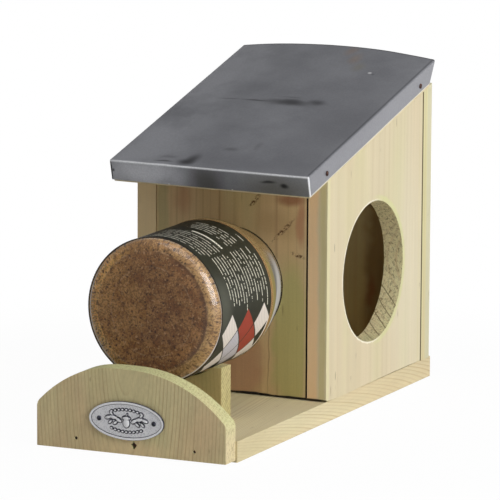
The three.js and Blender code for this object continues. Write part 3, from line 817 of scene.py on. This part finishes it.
def turnedNail(node, kind, along, finish):
    shape = nailShapes[kind]
    low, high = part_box(node)
    head = (low + high) / 2 - along * (abs((high - low).dot(along)) / 2)
    rim, thick, dome = shape["head"], shape["thick"], shape["dome"]
    seat = thick + (dome if kind != "brad" else 0.0)
    shank, tip = shape["shank"], -shape["length"]
    points = [(0, tip), (shank, tip + nailCut["point"]), (shank, 0),
              (rim * nailCut["under"], 0), (rim, nailCut["bevel"]), (rim, thick)]
    points += [(rim * math.cos(a), thick + dome * math.sin(a)) for a in nailCut["crest"]]
    points += [(0, thick + dome)]
    bm = lathe([(r * mm, 0, (z - seat) * mm) for r, z in points], (0, 0, 1), nailCut["steps"])
    turn = Vector((0, 0, -1)).rotation_difference(along)
    settle(bm, head, turn.to_matrix().to_4x4())
    asPiece(bm, f"{node}_turned", [finish], "box", [node], flat=False)


# Plaque: an oval with a raised rim, a stippled field and a plain acorn sprig between rows of beads

plaque = {
    "rim": 1.7 * mm, "rimFlat": 0.75, "rise": 0.6 * mm, "soften": 0.25 * mm, "softSteps": 3, "segments": 96,
    "lumpAcross": 14, "lumpUp": 8, "skirt": 0.4, "skirtRise": 0.1, "steep": 0.8,
}
acorn = (  # centre across and up, half sizes across, up and out, turn
    ((0, -1.2), (2.1, 2.7, 1.0), 0),
    ((0, 1.5), (2.7, 1.3, 1.1), 0),
    ((0.4, 3.4), (0.45, 1.0, 0.6), -0.3),
)
leaf = (
    ((4.9, 0.2), (2.2, 1.2, 0.8), 0.5),
    ((8.0, 1.4), (2.3, 1.3, 0.8), 0.15),
    ((11.3, 1.1), (2.2, 1.1, 0.8), -0.3),
    ((6.8, -1.6), (1.7, 0.9, 0.7), -0.6),
    ((10.0, -1.4), (1.6, 0.8, 0.7), -0.7),
    ((9.4, 3.6), (1.5, 0.8, 0.7), 0.8),
)
beads = {"count": 9, "gap": 2.3, "height": 6.3, "sag": 0.018, "size": 0.66, "wide": 0.924, "fan": 0.03}


def plaqueRelief():
    lumps = list(acorn)
    for (x, y), size, turn in leaf:
        lumps += [((x, y), size, turn), ((-x, y), size, -turn)]
    size = (beads["wide"], beads["size"], beads["size"])
    for i in range(beads["count"]):
        x = (i - (beads["count"] - 1) / 2) * beads["gap"]
        for side in (-1, 1):
            y = side * (beads["height"] - beads["sag"] * x * x)
            lumps.append(((x, y), size, -side * x * beads["fan"]))
    return lumps


def plaqueOval(finishes):
    low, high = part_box("plaque")
    centre = (low + high) / 2
    deep = high.y - low.y
    bm = bmesh.new()
    bmesh.ops.create_circle(bm, cap_ends=True, segments=plaque["segments"], radius=0.5)
    bmesh.ops.scale(bm, vec=(high.x - low.x, high.z - low.z, 1), verts=bm.verts)
    cap = raised(bm, deep)
    for share, rise in ((plaque["rimFlat"], 0.0), (1 - plaque["rimFlat"], -plaque["rise"])):
        bmesh.ops.inset_region(bm, faces=cap, thickness=plaque["rim"] * share, depth=rise,
                               use_even_offset=True)
    bmesh.ops.recalc_face_normals(bm, faces=bm.faces)
    rounded(bm, creases(bm, 35), plaque["soften"], plaque["softSteps"])
    field = deep - plaque["rise"]
    skirt = plaque["skirt"]
    skirts = set()
    for (x, y), (wide, tall, out), turn in plaqueRelief():
        for size in ((wide, tall, out), (wide + skirt, tall + skirt, plaque["skirtRise"])):
            lump = bmesh.ops.create_uvsphere(bm, u_segments=plaque["lumpAcross"],
                                             v_segments=plaque["lumpUp"], radius=mm)
            shape = Matrix.Rotation(turn, 4, "Z") @ Matrix.Diagonal((*size, 1))
            bmesh.ops.transform(bm, matrix=Matrix.Translation((x * mm, y * mm, field)) @ shape,
                                verts=lump["verts"])
        skirts |= {face for vert in lump["verts"] for face in vert.link_faces}
    # the skirts round the lumps take the painted shade
    for face in skirts:
        face.material_index = 1
    settle(bm, (centre.x, high.y, centre.z), Matrix.Rotation(math.pi / 2, 4, "X"))
    # the steep walls of the rim and field take the painted shade too
    markFaces(bm, lambda c, n: abs(n.y) < plaque["steep"])
    asPiece(bm, "plaque_oval", finishes, "box", ["plaque"])


# Jar: glass, label and peanut butter, all turned about the jar's axis, in millimetres from its foot

jar = {
    "radius": 41.4, "wall": 2.6, "floor": 4.5, "body": 72.0, "proud": 102.2, "round": 5.0, "seat": 32.4,
    "neck": 31.4, "neckFrom": 0.9, "neckLength": 15.0, "heel": 8.0, "push": 1.6, "stand": 5.0, "recess": 0.6,
    "lip": 1.0, "ringRadius": 1.1, "ringSunk": 0.2, "ringAt": 6.1, "ringReach": 2.0,
    "steps": 128, "shoulderSteps": 20, "heelSteps": 14, "innerSteps": 10, "ringSteps": 6, "lipSteps": 4,
}
paste = {
    "overlap": 0.06, "short": 0.6, "scoop": 11.0, "scoopSteps": 16,
    "lumps": 1.6 * mm, "lumpsFrom": 40 * mm, "lumpsWithin": 0.97,
}
paper = {"gap": 0.05, "thick": 0.3}


def arc(radius, centreR, centreY, start, end, steps):
    turns = [start + (end - start) * i / steps for i in range(steps + 1)]
    return [(centreR + radius * math.cos(a), centreY + radius * math.sin(a)) for a in turns]


def shoulderLine(bodyR, neckR):
    line = []
    for i in range(jar["shoulderSteps"] + 1):
        t = i / jar["shoulderSteps"]
        r = bodyR * (1 - t * t) + neckR * t * t
        y = jar["body"] * (1 - t) ** 2 + 2 * t * (1 - t) * (jar["body"] + jar["round"]) + jar["proud"] * t * t
        line.append((r, y))
    return line


def turnJar(points, name, finish, stands, change=None, closed=False):
    bm = lathe([(r * mm, y * mm, 0) for r, y in points], (0, 1, 0), jar["steps"], closed)
    if change:
        change(bm)
    settle(bm, (0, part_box("jar_glass")[0].y, jarAxis.z))
    asPiece(bm, name, [finish], "jar", stands, math.radians(60), False)


def jarGlass(finish):
    j = jar
    quarter = math.pi / 2
    stand = j["radius"] - j["heel"]
    mouth = j["proud"] + j["neckLength"]
    inner = j["radius"] - j["wall"]
    bore = j["neck"] - j["wall"]
    innerHeel = j["heel"] - j["wall"]
    label = j["radius"] - j["recess"]
    lip = j["lip"]
    ringY = mouth - j["ringAt"]
    points = [(0, j["push"]), (stand - j["stand"], j["push"]), (stand - j["stand"] / 2, j["push"] * 0.4)]
    points += arc(j["heel"], stand, j["heel"], -quarter, 0, j["heelSteps"])
    points += [(label, j["heel"] + j["recess"]), (label, j["body"] - j["recess"])]
    points += shoulderLine(j["radius"], j["seat"])
    points += [(j["neck"], j["proud"] + j["neckFrom"]), (j["neck"], ringY - j["ringReach"])]
    points += arc(j["ringRadius"], j["neck"] - j["ringSunk"], ringY, -quarter, quarter, j["ringSteps"])
    points += [(j["neck"], ringY + j["ringReach"]), (j["neck"], mouth - lip)]
    points += arc(lip, j["neck"] - lip, mouth - lip, 0, quarter, j["lipSteps"])
    points += arc(lip, bore + lip, mouth - lip, quarter, math.pi, j["lipSteps"])
    points += reversed(shoulderLine(inner, bore))
    points += arc(innerHeel, inner - innerHeel, j["floor"] + innerHeel, 0, -quarter, j["innerSteps"])
    points += [(0, j["floor"])]
    turnJar(points, "jar_glass_turned", finish, ["jar_glass"])


def peanutButter(finish):
    inner = jar["radius"] - jar["wall"] + paste["overlap"]
    heel = jar["heel"] - jar["wall"] + paste["overlap"]
    floor = jar["floor"] - paste["overlap"]
    top = jar["body"] - paste["short"]
    steps = paste["scoopSteps"]
    shares = [1 - (i + 1) / steps for i in range(steps)]
    points = [(0, floor)]
    points += arc(heel, inner - heel, floor + heel, -math.pi / 2, 0, jar["innerSteps"])
    points += [(inner, top)]
    points += [(inner * s, top - paste["scoop"] * (1 - s * s)) for s in shares]

    def lumps(bm):
        for vert in bm.verts:
            away = math.hypot(vert.co.x, vert.co.z) / (inner * mm)
            if vert.co.y > paste["lumpsFrom"] and away < paste["lumpsWithin"]:
                swirl = noise.noise(vert.co * 110) + 0.5 * noise.noise(vert.co * 260)
                vert.co.y += paste["lumps"] * swirl * (1 - away ** 4)
    turnJar(points, "peanut_butter_fill", finish, ["peanut_butter"], lumps)


def jarLabel(finish):
    inner = jar["radius"] - jar["recess"] + paper["gap"]
    outer = inner + paper["thick"]
    start = jar["heel"] + 2 * jar["recess"]
    end = jar["body"] - 2 * jar["recess"]
    points = [(inner, start), (outer, start), (outer, end), (inner, end)]
    turnJar(points, "jar_label_paper", finish, ["jar_label"], closed=True)


labelPrint = {  # spans round the jar and along it, in millimetres
    "pitch": 3.2, "soft": 0.2,
    "dark": ((40, 41, 30), (54, 55, 43)),
    "pale": (230, 227, 208),
    "rim": (176, 132, 88),
    "cream": (228, 218, 206),
    "grey": (196, 192, 196),
    "terracotta": (156, 62, 46),
    "blocks": (((37, 72), (13.6, 36.4)), ((38.5, 66), (44.6, 60.0)), ((37, 43), (64.6, 67.8))),
    "column": ((3, 33.5), (20.0, 68.2)),
    "heading": ((37, 58), (37.8, 39.4)),
    "border": ((-48, -12), (69.0, 70.2)),
    "diamond": (10.4, 9.4),  # half sizes
    "diamonds": (
        (-11.5, 21, "cream"), (-11.5, 41, "terracotta"), (-11.5, 61, "cream"), (-22.5, 31, "grey"),
        (-22.5, 51, "terracotta"), (-33.5, 21, "cream"), (-33.5, 41, "grey"), (-33.5, 61, "cream"),
    ),
}


def panel(turn, along, spans):
    soft = labelPrint["soft"]
    edges = [(low - soft, low + soft, high - soft, high + soft) for low, high in spans]
    return turn.band(*edges[0]) * along.band(*edges[1])


def labelPaper():
    look = labelPrint
    f = Finish("label_paper")
    x, y, z = f.split(f.place())
    turn = (z - jarAxis.z / mm).call("ARCTAN2", x) * jar["radius"]  # millimetres round from the right side
    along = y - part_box("jar_glass")[0].y / mm
    row = (along / look["pitch"]).call("FLOOR")
    inRow = (along / look["pitch"]).call("FRACT")
    words = f.grain(f.join(turn * 0.42, row * 7.3, 0.0), 1.0, 1.0)
    letters = f.grain(f.join(turn * 1.6, row * 5.1, 0.3), 1.0, 1.0)
    bars = inRow.band(0.3, 0.38, 0.48, 0.58) * words.rise(0.4, 0.44) * letters.rise(0.3, 0.5).span(0.3, 1.0)
    ragged = f.pick(row)
    text = panel(turn - ragged * 11 + 6, along, look["column"]) * turn.fall(33.2, 33.6)
    for spans in look["blocks"]:
        text = text + panel(turn + ragged * 2, along, spans)
    flat = f.stretch(f.join(turn, along, 0.0), (mm, mm, mm))
    f.ground(f.grain(flat, 120.0, 3.0, 0.6), *look["dark"])
    # painted reflection of the lamp: a soft paler patch low on the label
    f.lay(f.spot(flat, (4, 13, 0), (26, 12, 1), 0.9) * 0.5, (96, 97, 84))
    f.lay(turn.rise(38, 58) * 0.75, (16, 17, 8))
    f.lay(bars * text, look["pale"])
    f.lay(panel(turn, along, look["heading"]) * letters.rise(0.25, 0.4), look["pale"])
    lines = (along * 0.5 + turn * 0.22).call("FRACT").rise(0.5, 0.7)
    reachTurn, reachAlong = look["diamond"]
    for turnAt, alongAt, shade in look["diamonds"]:
        out = abs(turn - turnAt) / reachTurn + abs(along - alongAt) / reachAlong
        ink = tint(*look[shade])
        if shade != "terracotta":
            ink = f.blend(lines * 0.25, ink, tint(110, 104, 112))
        f.colour = f.blend(out.fall(0.97, 1.03), f.colour, ink)
    f.lay(panel(turn, along, look["border"]), look["cream"])
    f.lay(along.rise(70.1, 70.4), look["rim"])
    return f.coated(Roughness=0.5, Specular_IOR_Level=0.3)


# Build

alongDepth = (math.pi / 2, math.radians(6.3), 0.0)
plumb = 400  # longer than any board, for marks that run its whole length or depth


def scoresInHole(f, body):  # saw marks across the lower rear wall of the entrance
    x, y, z = f.split(body)
    turn = (z - entrance["z"]).call("ARCTAN2", y - entrance["y"]) * entrance["radius"]
    across = turn + (x - 60.5) * 1.05 + (f.grain(body, 90.0) - 0.5) * 2.4
    phase = ((across + 28.5) / 8.7 + 0.475).call("FRACT")
    return phase.band(0.4, 0.46, 0.49, 0.56) * across.band(-66, -62, -25, -23)


def holeRim(f, body):  # a painted highlight along the front half of the rim, and frayed greenish fibres on its rear half
    y, z = f.split(body)[1:]
    away = ((y - entrance["y"]) ** 2.0 + (z - entrance["z"]) ** 2.0) ** 0.5
    away = away + (f.grain(body, 300.0, 2.0, 0.6) - 0.5) * 1.6
    rear = (y - entrance["y"]).rise(-5, 15)
    f.lay(away.fall(43, 45) * rear * 0.8, (214, 212, 156))
    f.lay(away.fall(41.6, 42.2) * (1 - rear) * 0.8, (246, 240, 220))


plateLook = {"pith": (0.003, 0.153, 0), "turn": (0.25, 0, 0)}  # the boards' heart leans, so rings arch
plateWood = pine("plate_pine", **plateLook, ring=2.2, warp=1.3, early=(216, 202, 154),
                 late=(166, 128, 90), blush=(210, 176, 138), moss=(190, 190, 134), lateAmount=0.75,
                 lateFrom=0.6, fibre=0.15, streak=0.16, blushAmount=0.5, patches=(
    ((2, -142, 44), (21, 60, 28), (211, 197, 149), 0.94, 0.8, 3),
    ((0, -142, 3), (38, 60, 11), (228, 202, 154), 0.8, 0.8, 3),
    ((40, -142, 14), (24, 60, 26), (206, 170, 130), 0.3, 0.9, 6),
))
plateRim = pine("plate_rim_pine", **plateLook, ring=1.6, sawn=0.7, early=(212, 210, 156),
                late=(186, 180, 122), moss=(200, 206, 150), patches=(
    ((58.8, -142, 4), (6, 60, 24), (222, 204, 164), 0.8, 0.7, 1),
))
restWood = pine("rest_pine", pith=(0.05, 0.12, 0), turn=(0.35, 0.2, 0.0), early=(192, 174, 118),
                late=(158, 134, 86), lateAmount=0.4, moss=(168, 166, 104), grit=0.1)
restSide = pine("rest_side_pine", pith=(0.02, 0.05, 0), turn=(0.5, 0.3, 0.0), ring=1.3, sawn=0.4,
                early=(196, 188, 130), late=(126, 114, 66), lateAmount=0.9, moss=(176, 180, 118),
                fibre=0.2, streak=0.2)
# the front panel's wood is darker and browner than the other boards, partly its own colour and partly painted
# shade under the roof's overhang
frontWood = pine("front_pine", pith=(-0.012, -0.03, 0), ring=2.6, early=(206, 177, 126),
                 late=(150, 112, 74), lateAmount=0.6, lateFrom=0.68, grit=0.1, patches=(
    ((38, -18, 46), (15, 60, 54), (184, 176, 112), 0.85, 0.4, 5),
    ((8, -18, 28), (17, 60, 34), (184, 139, 105), 0.8, 0.6, 5),
    ((24, -18, 36), (0.7, 60, 34), (110, 66, 42), 0.4, 0.7, 2),
    ((38, -18, 127), (13, 60, 5), (146, 84, 58), 0.7, 0.8, 3),
    ((44, -18, 114), (4, 60, 18), (180, 122, 90), 0.7, 0.7, 2),
    ((30, -18, 112), (22, 60, 12), (176, 146, 102), 0.5, 0.8, 4),
    ((-31, -18, 124), (8, 60, 18), (190, 142, 106), 0.6, 0.8, 4),
    ((-44, -18, 110), (5, 60, 60), (184, 172, 124), 0.7, 0.6, 3),
    ((46.6, -18, 70), (0.7, 60, plumb), (214, 190, 146), 0.5, 0.7, 0),
    # the next two rows are painted shade in the gaps beside the right side panel and above the base
    ((48.2, -18, 70), (0.9, 60, plumb), (24, 13, 6), 1.0, 0.3, 0),
    ((0, -18, 12.2), (plumb, 60, 1.7), (24, 13, 6), 1.0, 0.4, 1.2),
), tears=(
    ((14.5, -18, 124.8), (1.8, 60, 8), -0.67),
    ((32.6, -18, 109), (1.8, 60, 13), -0.78),
    ((42, -18, 95.6), (6, 60, 1.8), -0.3),
), fleck=(96, 68, 40))
holeWood = pine("hole_pine", pith=(-0.03, -0.03, 0), sawn=2.2, shagged=0.8, early=(236, 228, 180),
                grit=0.3, moss=(196, 198, 138), fleck=(104, 82, 46), scores=scoresInHole)
slits = tuple(((60.5, y, z), (3, 0.6, 3.4), (120, 106, 78), 0.65, 0.6, 0)
              for y, z in ((-8.3, 100.0), (-5.9, 25.3)))
sideLook = {"ring": 3.2, "warp": 1.5, "lateAmount": 0.35, "early": (216, 203, 171),
            "late": (196, 177, 136), "blush": (219, 200, 168), "fibre": 0.05}
sideWood = pine("side_pine", pith=(-0.13, -0.02, 0), patches=(
    ((60.5, 92, 60), (9, 40, 130), (226, 217, 190), 0.55, 0.9, 3),
    ((60.5, -16.5, 70), (9, 2.8, plumb), (222, 216, 168), 0.6, 0.6, 1),
    ((51.6, -18.2, 70), (5, 1.2, plumb), (242, 206, 158), 0.9, 0.6, 1),
    ((57.8, -18.2, 70), (2.4, 1.2, plumb), (206, 194, 142), 0.8, 0.6, 1),
    # painted shade in the gap under the front edge
    ((54, -18.2, 12), (plumb, 1.6, 1.8), (24, 13, 6), 1.0, 0.4, 0.8),
    ((54.8, 109, 70), (9, 5, plumb), (222, 214, 164), 0.5, 0.8, 1),
    ((60.5, 111.8, 70), (9, 0.7, plumb), (84, 70, 34), 0.9, 0.4, 0),
    # painted shadow line along the seam with the base board
    ((60.5, 78, 12.2), (9, 38, 0.7), (112, 98, 60), 0.7, 0.5, 0.4),
) + slits, rim=holeRim, **sideLook)
farWood = pine("far_pine", pith=(0.1, -0.02, 0), patches=(
    ((-54.5, -18.2, 70), (12, 1.2, plumb), (236, 210, 162), 0.9, 0.6, 1),
), **{**sideLook, "early": (190, 162, 116), "late": (154, 120, 80)})
backWood = pine("back_pine", pith=(0.02, -0.2, 0), early=(218, 212, 166), patches=(
    ((60.5, 112.4, 70), (3, 0.6, plumb), (84, 70, 34), 0.9, 0.4, 0),
    ((60.5, 122, 70), (3, 5, plumb), (210, 205, 176), 0.8, 0.5, 0.5),
    # painted shade inside the box, on the right of the back panel's inner face
    ((40, 111, 77), (21, 4, plumb), (150, 124, 84), 0.9, 0.4, 2),
    ((28, 111, 50), (5, 4, 14), (150, 84, 56), 0.6, 0.8, 3),
))
baseWood = pine("base_pine", turn=alongDepth, pith=(-0.01, -0.018, 0), ring=0.9, warp=1.2,
                early=(220, 208, 170), late=(182, 158, 112), lateAmount=0.65, fleckAmount=0.2,
                moss=(208, 202, 154), patches=(
    ((60.5, -116, 6), (8, 50, 20), (204, 190, 148), 0.6, 0.8, 3),
))
roofWood = pine("roof_pine", turn=alongDepth, pith=(0.02, 0.3, 0))
zinc = zincSheet()
steel = nailSteel()
shadeAndDarkMetal = plaqueShade()

stopPlate([plateWood, plateRim])
jarRest([restWood, restSide])
frontPanel([frontWood, holeWood])
sidePanel("left", [farWood, holeWood])
sidePanel("right", [sideWood, holeWood])
backPanel([backWood])
baseBoard([baseWood])
roofBoard([roofWood])
roofSheet([zinc])
print("boards and roof made")

for prefix, kind, along, finish in (
    ("stop_plate_nail", "brad", (0, 1, 0), steel),
    ("back_panel_nail", "brad", (0, -1, 0), steel),
    ("left_panel_nail", "brad", (1, 0, 0), steel),
    ("roof_nail_left", "clout", (1, 0, 0), steel),
    ("right_panel_nail", "brad", (-1, 0, 0), steel),
    ("roof_nail_right", "clout", (-1, 0, 0), steel),
    ("plaque_pin", "pin", (0, 1, 0), shadeAndDarkMetal),
):
    for node in nailsIn(prefix):
        turnedNail(node, kind, Vector(along), finish)
for name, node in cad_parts.items():
    if "nail" in name:
        node.data.materials.clear()
        node.data.materials.append(steel)
plaqueOval([plaqueMetal(), shadeAndDarkMetal])
print("nails and plaque made")

jarGlass(clearGlass())
peanutButter(peanutPaste())
jarLabel(labelPaper())
print("jar made")


# Floor, lights and camera

studio = {
    "floor": (6.0, 6.0, 1, 1),
    "floorDrop": 0.2 * mm,  # just clear of the base board
    "wall": (5.0, 0.55, 1, 1),
    "wallAt": (0, 3.0, 0.55),
    "key": {"at": (1.86, -0.40, 0.96), "size": 1.6, "power": 37.0},
    "top": {"at": (0.2, -0.3, 1.9), "size": 1.4, "power": 7.0},
    "aim": (0, 0, 0.08),
    "world": 0.18,
}


def screen(name, place, finish):  # a flat square two metres wide, set by a matrix
    bm = bmesh.new()
    bmesh.ops.create_grid(bm, x_segments=1, y_segments=1, size=1.0)
    bmesh.ops.transform(bm, matrix=place, verts=bm.verts)
    return asObject(bm, name, [finish])


def floorPaint():  # white to the camera, with a faint shadow kept near the object; clear from underneath
    f = Finish("floor")
    x, y = f.split(f.place())[:2]
    far = ((x * x + y * y) ** 0.5).rise(200, 360)
    seen = f.ray("Is Camera Ray") * far.span(0.97, 1.0)
    glossy = f.ray("Is Glossy Ray")
    tone = f.blend(glossy * y.fall(300, 750), (1, 1, 1, 1), (0.3, 0.3, 0.3, 1))
    glow = f.node("ShaderNodeEmission", {}, tone, 1.0)
    top = f.mixed((seen + glossy).call("MAXIMUM", f.through()), f.matte((0.86, 0.86, 0.86, 1)), glow)
    return f.done(f.mixed(f.node("ShaderNodeNewGeometry", {}, out="Backfacing"), top, f.clear()))


def wallPaint():  # seen in gloss and glass but lighting nothing
    f = Finish("backdrop")
    seen = f.ray("Is Glossy Ray").call("MAXIMUM", f.through())
    return f.done(f.mixed(seen, f.clear(), f.node("ShaderNodeEmission", {}, (1, 1, 1, 1), 1.0)))


def surroundings():  # plain light all round, white where the camera or glass sees it
    f = Finish("studio", world=True)
    plain = f.node("ShaderNodeBackground", {}, (1, 1, 1, 1), studio["world"])
    white = f.node("ShaderNodeBackground", {}, (1, 1, 1, 1), 1.0)
    seen = f.ray("Is Camera Ray").call("MAXIMUM", f.through())
    return f.done(f.mixed(seen, plain, white))


def lamp(name):
    light = studio[name]
    data = bpy.data.lights.new(name, "AREA")
    data.shape = "SQUARE"
    data.size = light["size"]
    data.energy = light["power"]
    made = put(name, data)
    made.location = light["at"]
    made.rotation_mode = "QUATERNION"
    made.rotation_quaternion = (Vector(studio["aim"]) - made.location).to_track_quat("-Z", "Y")


shot = {
    "turn": math.radians(26.19), "lift": math.radians(10.67), "roll": math.radians(0.32),
    "away": 2.861, "right": 8.73 * mm, "up": 8.55 * mm, "target": Vector((0, -13.8 * mm, 85.7 * mm)),
    "lens": 360.0, "sensor": 36.0, "clip": 20.0,
}


def makeCamera():
    turn, lift = shot["turn"], shot["lift"]
    view = Vector((-math.sin(turn) * math.cos(lift), math.cos(turn) * math.cos(lift), -math.sin(lift)))
    level = Vector((math.cos(turn), math.sin(turn), 0))
    across = level * math.cos(shot["roll"]) + level.cross(view) * math.sin(shot["roll"])
    upward = across.cross(view)
    data = bpy.data.cameras.new("camera")
    data.lens = shot["lens"]
    data.sensor_width = shot["sensor"]
    data.clip_end = shot["clip"]
    camera = put("camera", data)
    place = shot["target"] - view * shot["away"] + across * shot["right"] + upward * shot["up"]
    axes = Matrix((across, upward, -view)).transposed().to_4x4()
    camera.matrix_world = Matrix.Translation(place) @ axes
    bpy.context.scene.camera = camera


under = Matrix.Translation((0, 0, -studio["floorDrop"]))
floor = screen("floor", under @ Matrix.Diagonal(studio["floor"]), floorPaint())
upright = Matrix.Translation(studio["wallAt"]) @ Matrix.Rotation(math.pi / 2, 4, "X")
wall = screen("backdrop", upright @ Matrix.Diagonal(studio["wall"]), wallPaint())
for name in ("key", "top"):
    lamp(name)
bpy.context.scene.world = surroundings()
makeCamera()
bpy.context.scene.view_settings.view_transform = "Standard"
print("stage set")
